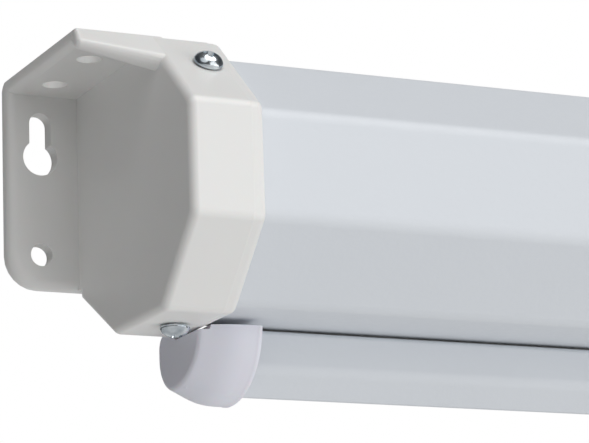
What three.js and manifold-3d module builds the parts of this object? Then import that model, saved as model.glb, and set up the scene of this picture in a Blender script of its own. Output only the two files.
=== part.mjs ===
// Boxed pull-down blind: a folded steel case between two moulded end caps, a spring roller
// inside it, and a weighted bottom bar that draws the fabric down through a slot.
// Units are millimetres. +X runs along the case, -Y points away from the wall, +Z is up.
// The origin is on the wall face of the left bracket, midway between its two fixing holes.
import * as THREE from 'three';
import { ConvexGeometry } from 'three/addons/geometries/ConvexGeometry.js';
import { mergeVertices } from 'three/addons/utils/BufferGeometryUtils.js';
import Module from 'manifold-3d';

const wasm = await Module();
wasm.setup();

// Driving dimensions. Depths are measured forward of the wall, heights from the mount centre.
const FABRIC_WIDTH = 1200;
const FABRIC_THICKNESS = 0.5;
const BRACKET_REACH = 9.5;
const CAP_SPAN = 1264.4;
const GAP = 0.3;

const WING_WIDTH = 17.8;
const TAB_THICKNESS = 4;
const TAB_BOTTOM = -19.3;
const TAB_CORNER_RADIUS = 8;
const FLANGE_THICKNESS = 3.4;
const FLANGE_DEPTH = 49.4;
const BACK_EDGE_RADIUS = 3.7;
const RIB_CORNERS = {
  tip: [[45.4, 29.6], [48.5, 31.6], [50.2, 28.6], [49.6, 27.6], [47.7, 27.1]],
  root: [[46.4, 29.6], [48.9, 31.6], [58.2, 23.2], [57, 22.2], [52.3, 21.8]],
};
const KEYHOLE_HEIGHT = 12.8;
const KEYHOLE_RADIUS = 4.4;
const KEYHOLE_SLOT_RADIUS = 2.75;
const KEYHOLE_SLOT_RISE = 8.4;
const ROUND_HOLE_HEIGHT = -11.2;
const CEILING_HOLE_RADIUS = 3;
const CEILING_HOLE_DEPTHS = [14.5, 36.8];

const CAP_TOP = 31.6;
const CAP_BOTTOM = -34;
const CAP_DEPTH = 72;
const CAP_LENGTH = 18.3;
const CAP_WALL = 1.9;
const END_PLATE_THICKNESS = 2.4;
const CASE_INSET = CAP_WALL + GAP;
const CASE_TOP_DROP = 2.2;
const CASE_THICKNESS = 1;
const CASE_BEND_RADIUS = 3;

const ROLL_OUTER_RADIUS = 15.5;
const ROLL_INNER_RADIUS = 11.3;
const ROLLER_RADIUS = 11;
const ROLLER_WALL = 0.8;
const FABRIC_DEPTH = 25.6;
const ROLLER_DEPTH = FABRIC_DEPTH + ROLL_OUTER_RADIUS + 2 * GAP;
const ROLLER_HEIGHT = -1.6;
const SLOT_HALF_WIDTH = 3.8;

const ARBOR_RADIUS = 3.2;
const ARBOR_END = 166;
const SOCKET_LENGTH = 6;
const SOCKET_RADIUS = 10;
const RATCHET_START = 14;
const RATCHET_LENGTH = 3;
const RATCHET_RADIUS = 7.6;
const PLUG_START = 18;
const PLUG_FLANGE_LENGTH = 2.5;
const PLUG_FLANGE_RADIUS = 15;
const PLUG_END = 40;
const PAWL_PIVOT_RADIUS = 12;
const PAWL_LENGTH = 9.5;
const PAWL_OPEN_RADIUS = 9.3;
const PAWL_ENGAGED_RADIUS = 6.8;
const PAWL_HALF_WIDTH = 1.1;
const PAWL_PIN_RADIUS = 1.2;
const SPRING_COIL_RADIUS = 6.8;
const SPRING_WIRE_RADIUS = 0.7;
const SPRING_START = 44;
const SPRING_TURNS = 13;
const SPRING_PITCH = 7.5;

const BAR_TOP = -32.5;
const BAR_CAP_START = 16;
const BAR_CAP_TAPER = 7.8;
const BAR_CAP_LENGTH = 15.2;
const BAR_CAP_DROP = 1.9;
const BAR_CAP_FACE = { halfDepth: 12.4, height: 13.6 };
const BAR_CAP_RIM = { halfDepth: 14.95, height: 16.8 };
const BAR_CAP_KEEL = 3.9;
const BAR_CAP_BACK_TOP = 3.5;
const BAR_CAP_TOP_ROUND = 4.5;
const BAR_CAP_STEP = 1.4;
const BAR_CAP_WALL = 1.6;
const BAR_TUBE_START = 31.6;
const BAR_HALF_DEPTH = 6.3;
const BAR_FACET = 5.6;
const BAR_HEIGHT = 15.2;
const BAR_WALL = 1.2;
const SPLINE_RADIUS = 4;

const SCREW_SHANK_RADIUS = 1.75;
const SCREW_HEAD_RADIUS = 3.5;
const SCREW_HEAD_HEIGHT = 2.1;
const SCREW_LENGTH = 9.5;

const GRIP_WIDTH = 30;
const GRIP_DROP = 27;
const GRIP_THICKNESS = 4;
const GRIP_PIVOT_DROP = 7;
const HANDLE_LENGTH = 56;

// Materials.
const finish = (color, roughness, metalness) =>
  new THREE.MeshStandardMaterial({ color, roughness, metalness });
const powderCoat = finish(0xe9ebee, 0.5, 0.1);
const capPlastic = finish(0xe8e8e4, 0.35, 0);
const barPlastic = finish(0xdedfe8, 0.4, 0);
const zinc = finish(0xb9c2ca, 0.3, 0.9);
const bareSteel = finish(0x9aa0a5, 0.4, 0.9);
const springSteel = finish(0x5a5f66, 0.45, 0.9);
const blackNylon = finish(0x2b2d30, 0.6, 0);
const blindFabric = finish(0xf2f1ec, 0.9, 0);

// Booleans.
function toSolid(geometry) {
  const bare = geometry.clone();
  bare.deleteAttribute('normal');
  bare.deleteAttribute('uv');
  const merged = mergeVertices(bare, 1e-4);
  const vertProperties = new Float32Array(merged.attributes.position.array);
  const triVerts = new Uint32Array(merged.index.array);
  return new wasm.Manifold(new wasm.Mesh({ numProp: 3, vertProperties, triVerts }));
}

function toGeometry(solid) {
  const mesh = solid.getMesh();
  const geometry = new THREE.BufferGeometry();
  geometry.setAttribute('position', new THREE.BufferAttribute(new Float32Array(mesh.vertProperties), 3));
  geometry.setIndex(new THREE.BufferAttribute(new Uint32Array(mesh.triVerts), 1));
  geometry.computeVertexNormals();
  return geometry;
}

function subtractAll(geometry, cutters) {
  const solid = cutters.reduce((rest, cutter) => rest.subtract(toSolid(cutter)), toSolid(geometry));
  return toGeometry(solid);
}

function joinAll(geometries) {
  const solids = geometries.map(toSolid);
  return toGeometry(solids.reduce((sum, solid) => sum.add(solid)));
}

// Outlines. A corner is [depth or x, height, radius]; the radius may be left out.
function addRoundedCorners(path, corners, start) {
  corners.forEach(([x, y, radius = 0], index) => {
    const corner = new THREE.Vector2(x, y);
    const before = index === 0 ? start.before : new THREE.Vector2(...corners[index - 1]);
    const after = index === corners.length - 1 ? start.after : new THREE.Vector2(...corners[index + 1]);
    if (radius === 0 || !before || !after) {
      if (index === 0 && start.open) path.moveTo(x, y);
      else path.lineTo(x, y);
      return;
    }
    const toBefore = before.clone().sub(corner).normalize();
    const toAfter = after.clone().sub(corner).normalize();
    const halfAngle = Math.acos(toBefore.dot(toAfter)) / 2;
    const tangent = radius / Math.tan(halfAngle);
    const middle = toBefore.clone().add(toAfter).normalize();
    const centre = corner.clone().addScaledVector(middle, radius / Math.sin(halfAngle));
    const first = corner.clone().addScaledVector(toBefore, tangent);
    const last = corner.clone().addScaledVector(toAfter, tangent);
    const clockwise = toBefore.cross(toAfter) > 0;
    const startAngle = Math.atan2(first.y - centre.y, first.x - centre.x);
    const endAngle = Math.atan2(last.y - centre.y, last.x - centre.x);
    if (index > 0 && path.curves.length === 0) path.lineTo(first.x, first.y);
    path.absarc(centre.x, centre.y, radius, startAngle, endAngle, clockwise);
  });
}

function closedOutline(corners) {
  const shape = new THREE.Shape();
  const first = new THREE.Vector2(...corners[0]);
  const last = new THREE.Vector2(...corners[corners.length - 1]);
  addRoundedCorners(shape, corners, { open: true, before: last, after: first });
  shape.closePath();
  return shape;
}

// Moves every edge of a polyline to its left by a distance and meets them again at the corners.
function offsetCorners(corners, distance, closed) {
  const count = corners.length;
  const point = (index) => new THREE.Vector2(...corners[(index + count) % count]);
  const edgeNormal = (from, to) => {
    const edge = to.clone().sub(from).normalize();
    return new THREE.Vector2(-edge.y, edge.x);
  };
  return corners.map(([, , radius = 0], index) => {
    const hasBefore = closed || index > 0;
    const hasAfter = closed || index < count - 1;
    const before = hasBefore ? edgeNormal(point(index - 1), point(index)) : null;
    const after = hasAfter ? edgeNormal(point(index), point(index + 1)) : null;
    const first = before ?? after;
    const second = after ?? before;
    const scale = distance / (1 + first.dot(second));
    const moved = point(index).addScaledVector(first.clone().add(second), scale);
    return [moved.x, moved.y, Math.max(radius - distance, 0)];
  });
}

// A folded sheet: the outer face's corners, and the same corners moved in by the thickness.
function foldedSheet(corners, thickness) {
  const inner = offsetCorners(corners, thickness, false).reverse();
  const shape = new THREE.Shape();
  addRoundedCorners(shape, corners, { open: true, before: null, after: null });
  addRoundedCorners(shape, inner, { open: false, before: null, after: null });
  shape.closePath();
  return shape;
}

// Outlines drawn as [depth, height] run along +X: depth d becomes y = -d.
function facingForward(corners) {
  return corners.map(([depth, height, radius = 0]) => [-depth, height, radius]);
}

function extrudeAlongX(shape, start, length) {
  const settings = { depth: length, bevelEnabled: false, curveSegments: 5 };
  const geometry = new THREE.ExtrudeGeometry(shape, settings);
  const turn = new THREE.Matrix4().makeBasis(
    new THREE.Vector3(0, 1, 0),
    new THREE.Vector3(0, 0, 1),
    new THREE.Vector3(1, 0, 0),
  );
  geometry.applyMatrix4(turn);
  geometry.translate(start, 0, 0);
  return geometry;
}

function rodAlongX(radius, start, end, sides = 24) {
  const geometry = new THREE.CylinderGeometry(radius, radius, end - start, sides);
  geometry.rotateZ(Math.PI / 2);
  geometry.translate((start + end) / 2, 0, 0);
  return geometry;
}

function sleeveAlongX(outer, inner, start, end, sides = 32) {
  const bore = rodAlongX(inner, start - 1, end + 1, sides);
  return subtractAll(rodAlongX(outer, start, end, sides), [bore]);
}

function boxBetween(low, high) {
  const size = high.map((value, axis) => value - low[axis]);
  const geometry = new THREE.BoxGeometry(...size);
  geometry.translate(...low.map((value, axis) => value + size[axis] / 2));
  return geometry;
}

function named(name, geometry, material) {
  const mesh = new THREE.Mesh(geometry, material);
  mesh.name = name;
  return mesh;
}

// The cup's outline, clockwise seen from the left: from the wall's top, down and round the front.
const BACK_CORNER = [TAB_THICKNESS, CAP_TOP];
const CAP_OUTLINE = [
  BACK_CORNER,
  [48.9, CAP_TOP, 1.5],
  [CAP_DEPTH, 10.7, 2],
  [CAP_DEPTH, -15.7, 2],
  [53.7, CAP_BOTTOM, 2],
  [24.3, CAP_BOTTOM, 2],
  [TAB_THICKNESS, -21.5],
];

// The rise over run of the cup's lower back slope.
const CHAMFER_SLOPE = (-21.5 - CAP_BOTTOM) / (24.3 - TAB_THICKNESS);

// The cup's outline moved in. The case's top lies lower, because the cup is thicker there.
function insetCapOutline(distance) {
  const [back, front, frontUpper, ...lower] = CAP_OUTLINE;
  const slope = (frontUpper[0] - front[0]) / (front[1] - frontUpper[1]);
  const top = CAP_TOP - CASE_TOP_DROP;
  const loweredFront = [front[0] + CASE_TOP_DROP * slope, top, front[2]];
  const lowered = [[back[0], top], loweredFront, frontUpper, ...lower];
  return offsetCorners(facingForward(lowered), distance, true);
}

// Where the two cap screws enter: [along, depth, height, tilt of the screw's axis from the vertical].
const CHAMFER_TILT = Math.atan2(CAP_TOP - 10.7, CAP_DEPTH - 48.9);
const CAP_SCREWS = [
  { place: 'upper', along: 10.8, depth: 58.5, height: 22.9, tilt: Math.PI / 2 - CHAMFER_TILT },
  { place: 'lower', along: 9.7, depth: 38.4, height: CAP_BOTTOM, tilt: Math.PI },
];

// Places a piece modelled along +Z, with its seat at the origin, on a cap screw's seat.
function seatScrew(object, { along, depth, height, tilt }) {
  object.position.set(along, -depth, height);
  object.rotation.set(tilt === Math.PI ? Math.PI : Math.PI / 2 - tilt, 0, 0);
}

function screwHole(screw) {
  const hole = new THREE.CylinderGeometry(SCREW_SHANK_RADIUS + GAP, SCREW_SHANK_RADIUS + GAP, 12, 20);
  hole.rotateX(Math.PI / 2);
  const seat = new THREE.Object3D();
  seatScrew(seat, screw);
  seat.updateMatrix();
  hole.applyMatrix4(seat.matrix);
  return hole;
}

function panHeadScrew() {
  const tip = 0.5;
  const profile = [
    [0, -SCREW_LENGTH],
    [tip, -SCREW_LENGTH],
    [SCREW_SHANK_RADIUS, -SCREW_LENGTH + 3],
    [SCREW_SHANK_RADIUS, GAP],
    [SCREW_HEAD_RADIUS - 0.2, GAP],
    [SCREW_HEAD_RADIUS, GAP + 0.5],
    [SCREW_HEAD_RADIUS - 0.4, GAP + 1.5],
    [SCREW_HEAD_RADIUS - 1.5, SCREW_HEAD_HEIGHT],
    [0, SCREW_HEAD_HEIGHT + 0.2],
  ];
  const points = profile.map(([radius, along]) => new THREE.Vector2(radius, along));
  const body = new THREE.LatheGeometry(points, 20);
  body.rotateX(Math.PI / 2);
  const slots = [0, Math.PI / 2].map((turn) => {
    const slot = boxBetween([-1.9, -0.4, SCREW_HEAD_HEIGHT - 1.1], [1.9, 0.4, SCREW_HEAD_HEIGHT + 1]);
    slot.rotateZ(turn);
    return slot;
  });
  return subtractAll(body, slots);
}

// End caps, in a frame whose x = 0 is the cup's outer face, with the case towards +X.
function wallTab() {
  const shape = closedOutline([
    [-WING_WIDTH, CAP_TOP],
    [-WING_WIDTH, TAB_BOTTOM, TAB_CORNER_RADIUS],
    [CAP_LENGTH, TAB_BOTTOM],
    [CAP_LENGTH, CAP_TOP],
  ]);
  const keyhole = new THREE.Path();
  const neck = Math.sqrt(KEYHOLE_RADIUS ** 2 - KEYHOLE_SLOT_RADIUS ** 2);
  const neckAngle = Math.atan2(neck, KEYHOLE_SLOT_RADIUS);
  keyhole.absarc(-BRACKET_REACH, KEYHOLE_HEIGHT, KEYHOLE_RADIUS, neckAngle, Math.PI - neckAngle, true);
  keyhole.absarc(-BRACKET_REACH, KEYHOLE_HEIGHT + KEYHOLE_SLOT_RISE, KEYHOLE_SLOT_RADIUS, Math.PI, 0, true);
  keyhole.closePath();
  const roundHole = new THREE.Path();
  roundHole.absarc(-BRACKET_REACH, ROUND_HOLE_HEIGHT, KEYHOLE_SLOT_RADIUS, 0, 2 * Math.PI);
  shape.holes.push(keyhole, roundHole);
  const settings = { depth: TAB_THICKNESS, bevelEnabled: false, curveSegments: 12 };
  const tab = new THREE.ExtrudeGeometry(shape, settings);
  tab.rotateX(Math.PI / 2);
  return tab;
}

function ceilingFlange() {
  const profile = facingForward([
    [0, CAP_TOP],
    [0, CAP_TOP - FLANGE_THICKNESS],
    [FLANGE_DEPTH - 2.6, CAP_TOP - FLANGE_THICKNESS],
    [FLANGE_DEPTH, CAP_TOP - 1.9, 1],
    [FLANGE_DEPTH - 0.9, CAP_TOP, 0.8],
  ]);
  const flange = extrudeAlongX(closedOutline(profile), -WING_WIDTH, WING_WIDTH + 1);
  const holes = CEILING_HOLE_DEPTHS.map((depth) => {
    const hole = new THREE.CylinderGeometry(CEILING_HOLE_RADIUS, CEILING_HOLE_RADIUS, 12, 24);
    hole.rotateX(Math.PI / 2);
    hole.translate(-BRACKET_REACH, -depth, CAP_TOP);
    return hole;
  });
  return subtractAll(flange, holes);
}

// The rib under the flange's front edge, which deepens from the wing's tip to the end plate.
function frontRib() {
  const points = Object.entries(RIB_CORNERS).flatMap(([end, corners]) => {
    const along = end === 'tip' ? -WING_WIDTH : 0.5;
    return corners.map(([depth, height]) => new THREE.Vector3(along, -depth, height));
  });
  return new ConvexGeometry(points);
}

// What rounding takes off the long edge between the wall face and the ceiling face.
function backEdgeCutter() {
  const radius = BACK_EDGE_RADIUS;
  const shape = new THREE.Shape();
  shape.moveTo(1, CAP_TOP - radius);
  shape.lineTo(0, CAP_TOP - radius);
  shape.absarc(-radius, CAP_TOP - radius, radius, 0, Math.PI / 2);
  shape.lineTo(-radius, CAP_TOP + 1);
  shape.lineTo(1, CAP_TOP + 1);
  shape.closePath();
  return extrudeAlongX(shape, -WING_WIDTH - 1, WING_WIDTH + CAP_LENGTH + 2);
}

function endCap() {
  const cup = extrudeAlongX(closedOutline(facingForward(CAP_OUTLINE)), 0, CAP_LENGTH);
  const cavity = extrudeAlongX(closedOutline(insetCapOutline(CAP_WALL)), END_PLATE_THICKNESS, CAP_LENGTH);
  const solid = joinAll([cup, wallTab(), ceilingFlange(), frontRib()]);
  return subtractAll(solid, [cavity, backEdgeCutter(), ...CAP_SCREWS.map(screwHole)]);
}

function endSocket(name, slotHalfWidth, slotHalfHeight) {
  const start = END_PLATE_THICKNESS + GAP;
  const boss = rodAlongX(SOCKET_RADIUS, start, start + SOCKET_LENGTH, 32);
  const slot = boxBetween(
    [start + GAP, -slotHalfWidth - GAP, -slotHalfHeight - GAP],
    [start + SOCKET_LENGTH + 1, slotHalfWidth + GAP, slotHalfHeight + GAP],
  );
  return named(name, subtractAll(boss, [slot]), blackNylon);
}

function endAssembly(side) {
  const end = new THREE.Group();
  end.add(named(`${side}_end_cap`, endCap(), capPlastic));
  CAP_SCREWS.forEach((screw) => {
    const mesh = named(`${side}_${screw.place}_screw`, panHeadScrew(), zinc);
    seatScrew(mesh, screw);
    end.add(mesh);
  });
  return end;
}

// The folded steel case, open at the slot where the fabric leaves.
function caseShell() {
  const outline = insetCapOutline(CASE_INSET);
  const [backTop, frontTop, frontUpper, frontLower, frontBottom, backBottom, backLower] = outline;
  const slotFront = [-FABRIC_DEPTH - SLOT_HALF_WIDTH, frontBottom[1]];
  const slotBackY = -FABRIC_DEPTH + SLOT_HALF_WIDTH;
  const along = (slotBackY - backBottom[0]) / (backLower[0] - backBottom[0]);
  const slotBack = [slotBackY, backBottom[1] + along * (backLower[1] - backBottom[1])];
  const folds = [frontBottom, frontLower, frontUpper, frontTop, backTop, backLower];
  const rounded = folds.map(([y, z]) => [y, z, CASE_BEND_RADIUS]);
  const section = foldedSheet([slotFront, ...rounded, slotBack].reverse(), CASE_THICKNESS);
  const start = END_PLATE_THICKNESS + GAP;
  const shell = extrudeAlongX(section, start, CAP_SPAN - 2 * start);
  const leftHoles = CAP_SCREWS.map(screwHole);
  const rightHoles = CAP_SCREWS.map((screw) => screwHole({ ...screw, along: CAP_SPAN - screw.along }));
  return named('case_shell', subtractAll(shell, [...leftHoles, ...rightHoles]), powderCoat);
}

// Spring roller, in a frame whose x axis is the roller's axis.
function springArbor() {
  const tangStart = END_PLATE_THICKNESS + 3 * GAP;
  const tang = boxBetween([tangStart, -1, -ARBOR_RADIUS], [RATCHET_START, 1, ARBOR_RADIUS]);
  const rod = rodAlongX(ARBOR_RADIUS, RATCHET_START - 1, ARBOR_END, 24);
  return named('spring_arbor', joinAll([tang, rod]), bareSteel);
}

// Angle at the pawl's pivot between the roller's axis and the nose, for a given nose radius.
function pawlAngle(noseRadius) {
  const sides = PAWL_PIVOT_RADIUS ** 2 + PAWL_LENGTH ** 2 - noseRadius ** 2;
  return Math.acos(sides / (2 * PAWL_PIVOT_RADIUS * PAWL_LENGTH));
}

// A bar from the pawl's pivot towards its nose, in the pivot's own frame.
function pawlBar(halfWidth, length, start, end, noseRadius) {
  const bar = boxBetween([start, -halfWidth, -length], [end, halfWidth, 0]);
  bar.rotateX(-pawlAngle(noseRadius));
  return bar;
}

function ratchetWheel() {
  const end = RATCHET_START + RATCHET_LENGTH;
  const wheel = sleeveAlongX(RATCHET_RADIUS, ARBOR_RADIUS + GAP, RATCHET_START, end, 40);
  const notches = [0, Math.PI].map((turn) => {
    const reach = PAWL_LENGTH + 0.4;
    const width = PAWL_HALF_WIDTH + 0.4;
    const notch = pawlBar(width, reach, RATCHET_START - 1, end + 1, PAWL_ENGAGED_RADIUS);
    notch.translate(0, 0, PAWL_PIVOT_RADIUS);
    notch.rotateX(turn);
    return notch;
  });
  return named('ratchet_wheel', subtractAll(wheel, notches), bareSteel);
}

function ratchetPawl(name) {
  const end = RATCHET_START + RATCHET_LENGTH;
  const eye = rodAlongX(2.3, RATCHET_START, end, 20);
  const bar = pawlBar(PAWL_HALF_WIDTH, PAWL_LENGTH, RATCHET_START, end, PAWL_OPEN_RADIUS);
  const hole = rodAlongX(PAWL_PIN_RADIUS + GAP, RATCHET_START - 1, end + 1, 16);
  return named(name, subtractAll(joinAll([eye, bar]), [hole]), bareSteel);
}

function pawlPin(name) {
  const start = RATCHET_START - GAP;
  return named(name, rodAlongX(PAWL_PIN_RADIUS, start, PLUG_START + 2, 16), zinc);
}

function endPlug(name, boreRadius, pinTurns) {
  const flangeEnd = PLUG_START + PLUG_FLANGE_LENGTH;
  const flange = rodAlongX(PLUG_FLANGE_RADIUS, PLUG_START, flangeEnd, 40);
  const hub = rodAlongX(ROLLER_RADIUS - ROLLER_WALL - GAP, flangeEnd - 1, PLUG_END, 32);
  const bore = rodAlongX(boreRadius, PLUG_START - 1, PLUG_END + 1, 24);
  const pinHoles = pinTurns.map((turn) => {
    const hole = rodAlongX(PAWL_PIN_RADIUS + GAP, PLUG_START - 1, flangeEnd + 0.5, 16);
    hole.translate(0, 0, PAWL_PIVOT_RADIUS);
    hole.rotateX(turn);
    return hole;
  });
  return named(name, subtractAll(joinAll([flange, hub]), [bore, ...pinHoles]), blackNylon);
}

function torsionSpring() {
  const turns = SPRING_TURNS;
  class Helix extends THREE.Curve {
    getPoint(t, target = new THREE.Vector3()) {
      const angle = 2 * Math.PI * turns * t;
      const along = SPRING_START + SPRING_PITCH * turns * t;
      return target.set(along, SPRING_COIL_RADIUS * Math.cos(angle), SPRING_COIL_RADIUS * Math.sin(angle));
    }
  }
  const wire = new THREE.Shape();
  wire.absarc(0, 0, SPRING_WIRE_RADIUS, 0, 2 * Math.PI);
  const settings = { steps: turns * 12, curveSegments: 3, extrudePath: new Helix() };
  return named('torsion_spring', new THREE.ExtrudeGeometry(wire, settings), springSteel);
}

function rollerAssembly() {
  const roller = new THREE.Group();
  const tubeStart = PLUG_START + PLUG_FLANGE_LENGTH + GAP;
  const innerRadius = ROLLER_RADIUS - ROLLER_WALL;
  const rollStart = (CAP_SPAN - FABRIC_WIDTH) / 2;
  const springEnd = SPRING_START + SPRING_PITCH * SPRING_TURNS;
  const tube = sleeveAlongX(ROLLER_RADIUS, innerRadius, tubeStart, CAP_SPAN - tubeStart, 40);
  const wound = sleeveAlongX(ROLL_OUTER_RADIUS, ROLL_INNER_RADIUS, rollStart, rollStart + FABRIC_WIDTH, 48);
  const anchor = sleeveAlongX(SPRING_COIL_RADIUS, ARBOR_RADIUS + GAP, springEnd + 2, springEnd + 8);
  const bushing = sleeveAlongX(innerRadius - GAP, ARBOR_RADIUS + GAP, ARBOR_END - 10, ARBOR_END - 4);
  roller.add(
    springArbor(),
    ratchetWheel(),
    torsionSpring(),
    named('spring_anchor', anchor, bareSteel),
    endSocket('left_arbor_socket', 1, ARBOR_RADIUS),
    endPlug('spring_end_plug', ARBOR_RADIUS + GAP, [0, Math.PI]),
    named('roller_tube', tube, bareSteel),
    named('arbor_bushing', bushing, blackNylon),
    named('fabric_roll', wound, blindFabric),
  );
  [['a', 0], ['b', Math.PI]].forEach(([letter, turn]) => {
    const pivot = new THREE.Group();
    pivot.rotation.x = turn;
    const pawl = ratchetPawl(`pawl_${letter}`);
    const pin = pawlPin(`pawl_pin_${letter}`);
    pawl.position.z = PAWL_PIVOT_RADIUS;
    pin.position.z = PAWL_PIVOT_RADIUS;
    pivot.add(pawl, pin);
    roller.add(pivot);
  });
  const idleEnd = new THREE.Group();
  const gudgeon = rodAlongX(ARBOR_RADIUS, END_PLATE_THICKNESS + 3 * GAP, PLUG_END - 2, 24);
  idleEnd.add(
    bearingSocket(),
    endPlug('idle_end_plug', ARBOR_RADIUS + GAP, []),
    named('idle_gudgeon', gudgeon, bareSteel),
  );
  idleEnd.position.x = CAP_SPAN;
  idleEnd.scale.x = -1;
  roller.add(idleEnd);
  roller.position.set(0, -ROLLER_DEPTH, ROLLER_HEIGHT);
  return roller;
}

function bearingSocket() {
  const start = END_PLATE_THICKNESS + GAP;
  const boss = rodAlongX(SOCKET_RADIUS, start, start + SOCKET_LENGTH, 32);
  const bore = rodAlongX(ARBOR_RADIUS + GAP, start + GAP, start + SOCKET_LENGTH + 1, 24);
  return named('right_bearing_socket', subtractAll(boss, [bore]), blackNylon);
}

// Bottom bar, in a frame whose y = 0 is the fabric's plane and z = 0 is the bar's flat top.
function barSection() {
  const lowerHalf = BAR_HALF_DEPTH - BAR_FACET;
  return [
    [BAR_HALF_DEPTH, 0, 1],
    [BAR_HALF_DEPTH, -BAR_HEIGHT + BAR_FACET, 1],
    [lowerHalf, -BAR_HEIGHT, 0.6],
    [-lowerHalf, -BAR_HEIGHT, 0.6],
    [-BAR_HALF_DEPTH, -BAR_HEIGHT + BAR_FACET, 1],
    [-BAR_HALF_DEPTH, 0, 1],
  ];
}

function barTube(screwPlaces) {
  const lip = 1.2;
  const corners = [[lip, 0], ...barSection(), [-lip, 0]];
  const section = foldedSheet(corners.reverse(), BAR_WALL);
  const tube = extrudeAlongX(section, BAR_TUBE_START, CAP_SPAN - 2 * BAR_TUBE_START);
  const holes = screwPlaces.map((along) => {
    const hole = new THREE.CylinderGeometry(1.4, 1.4, 6, 16);
    hole.rotateX(Math.PI / 2);
    hole.translate(along, 0, -BAR_HEIGHT);
    return hole;
  });
  return named('bar_tube', subtractAll(tube, holes), powderCoat);
}

// Points of an ellipse's arc about a centre, in the bar's section.
function arcPoints([centreY, centreZ], [radiusY, radiusZ], from, to, steps) {
  return Array.from({ length: steps + 1 }, (_, step) => {
    const angle = from + ((to - from) * step) / steps;
    const y = centreY + radiusY * Math.cos(angle);
    return new THREE.Vector2(y, centreZ + radiusZ * Math.sin(angle));
  });
}

// A bar cap's section: a long round at the front and a short one at the back, with a top that
// is flat at the front and steps up at the back, under the end cap's lower slope.
function barCapSection({ halfDepth, height }, inset) {
  const cut = Math.asin((BAR_CAP_DROP + inset) / height);
  const backRadius = halfDepth - BAR_CAP_KEEL;
  const backTop = BAR_CAP_BACK_TOP - inset;
  const topRound = BAR_CAP_TOP_ROUND - inset;
  const keel = [BAR_CAP_KEEL, BAR_CAP_DROP];
  const heel = [BAR_CAP_KEEL, BAR_CAP_DROP - height + backRadius];
  const shoulder = [halfDepth - topRound, backTop - topRound];
  const frontRadii = [halfDepth + BAR_CAP_KEEL, height];
  return [
    ...arcPoints(keel, frontRadii, Math.PI + cut, 1.5 * Math.PI, 9),
    ...arcPoints(heel, [backRadius, backRadius], 1.5 * Math.PI, 2 * Math.PI, 6).slice(1),
    ...arcPoints(shoulder, [topRound, topRound], 0, Math.PI / 2, 4),
    new THREE.Vector2(BAR_CAP_STEP + BAR_CAP_BACK_TOP / CHAMFER_SLOPE, backTop),
    new THREE.Vector2(BAR_CAP_STEP, -inset),
  ];
}

// A closed solid through sections of one shape: [place along x, size of the section there].
function loftAlongX(stations, inset) {
  const positions = [];
  const indices = [];
  const outlines = stations.map(([, size]) => barCapSection(size, inset));
  const count = outlines[0].length;
  stations.forEach(([along, size], station) => {
    outlines[station].forEach((point) => positions.push(along, point.x, point.y));
    positions.push(along, 0, -size.height / 2);
  });
  const ring = count + 1;
  const lastRing = (stations.length - 1) * ring;
  for (let index = 0; index < count; index += 1) {
    const next = (index + 1) % count;
    indices.push(count, next, index);
    indices.push(lastRing + count, lastRing + index, lastRing + next);
    for (let start = 0; start < lastRing; start += ring) {
      indices.push(start + index, start + next, start + ring + index);
      indices.push(start + next, start + ring + next, start + ring + index);
    }
  }
  const geometry = new THREE.BufferGeometry();
  geometry.setAttribute('position', new THREE.Float32BufferAttribute(positions, 3));
  geometry.setIndex(indices);
  return geometry;
}

function smaller({ halfDepth, height }, by) {
  return { halfDepth: halfDepth - by, height: height - by };
}

function barCap(name) {
  const end = BAR_CAP_START + BAR_CAP_LENGTH;
  const taperEnd = BAR_CAP_START + BAR_CAP_TAPER;
  const outer = loftAlongX(
    [
      [BAR_CAP_START, smaller(BAR_CAP_FACE, 0.8)],
      [BAR_CAP_START + 0.25, smaller(BAR_CAP_FACE, 0.25)],
      [BAR_CAP_START + 0.9, BAR_CAP_FACE],
      [taperEnd - 1.5, smaller(BAR_CAP_RIM, 0.5)],
      [taperEnd, smaller(BAR_CAP_RIM, 0.1)],
      [taperEnd + 1.5, BAR_CAP_RIM],
      [end - 0.4, BAR_CAP_RIM],
      [end, smaller(BAR_CAP_RIM, 0.4)],
    ],
    0,
  );
  const hollow = loftAlongX(
    [
      [BAR_CAP_START + BAR_CAP_WALL, smaller(BAR_CAP_FACE, BAR_CAP_WALL)],
      [taperEnd, smaller(BAR_CAP_RIM, BAR_CAP_WALL)],
      [end + 1, smaller(BAR_CAP_RIM, BAR_CAP_WALL)],
    ],
    BAR_CAP_WALL,
  );
  const shell = subtractAll(outer, [hollow]);
  shell.translate(0, 0, -BAR_CAP_DROP);
  const plugStart = BAR_CAP_START + BAR_CAP_WALL - 1;
  const plugCorners = offsetCorners(barSection().reverse(), BAR_WALL + GAP, true);
  const plugSection = closedOutline(plugCorners.map(([y, z]) => [y, z]));
  const plug = extrudeAlongX(plugSection, plugStart, BAR_TUBE_START + 14 - plugStart);
  return named(name, joinAll([shell, plug]), barPlastic);
}

function fabricSpline() {
  const end = (CAP_SPAN + FABRIC_WIDTH) / 2 - 16;
  const start = (CAP_SPAN - FABRIC_WIDTH) / 2 + 16;
  const spline = rodAlongX(SPLINE_RADIUS, start, end, 20);
  spline.translate(0, 0, -BAR_WALL - GAP - SPLINE_RADIUS);
  return named('fabric_spline', spline, blackNylon);
}

// The hanging fabric, from its tangent on the roll down to the spline in the bar.
function fabricDrop() {
  const half = FABRIC_THICKNESS / 2;
  const start = (CAP_SPAN - FABRIC_WIDTH) / 2;
  const geometry = boxBetween(
    [start, -half, -BAR_WALL],
    [start + FABRIC_WIDTH, half, ROLLER_HEIGHT - BAR_TOP],
  );
  return named('fabric_drop', geometry, blindFabric);
}

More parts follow.
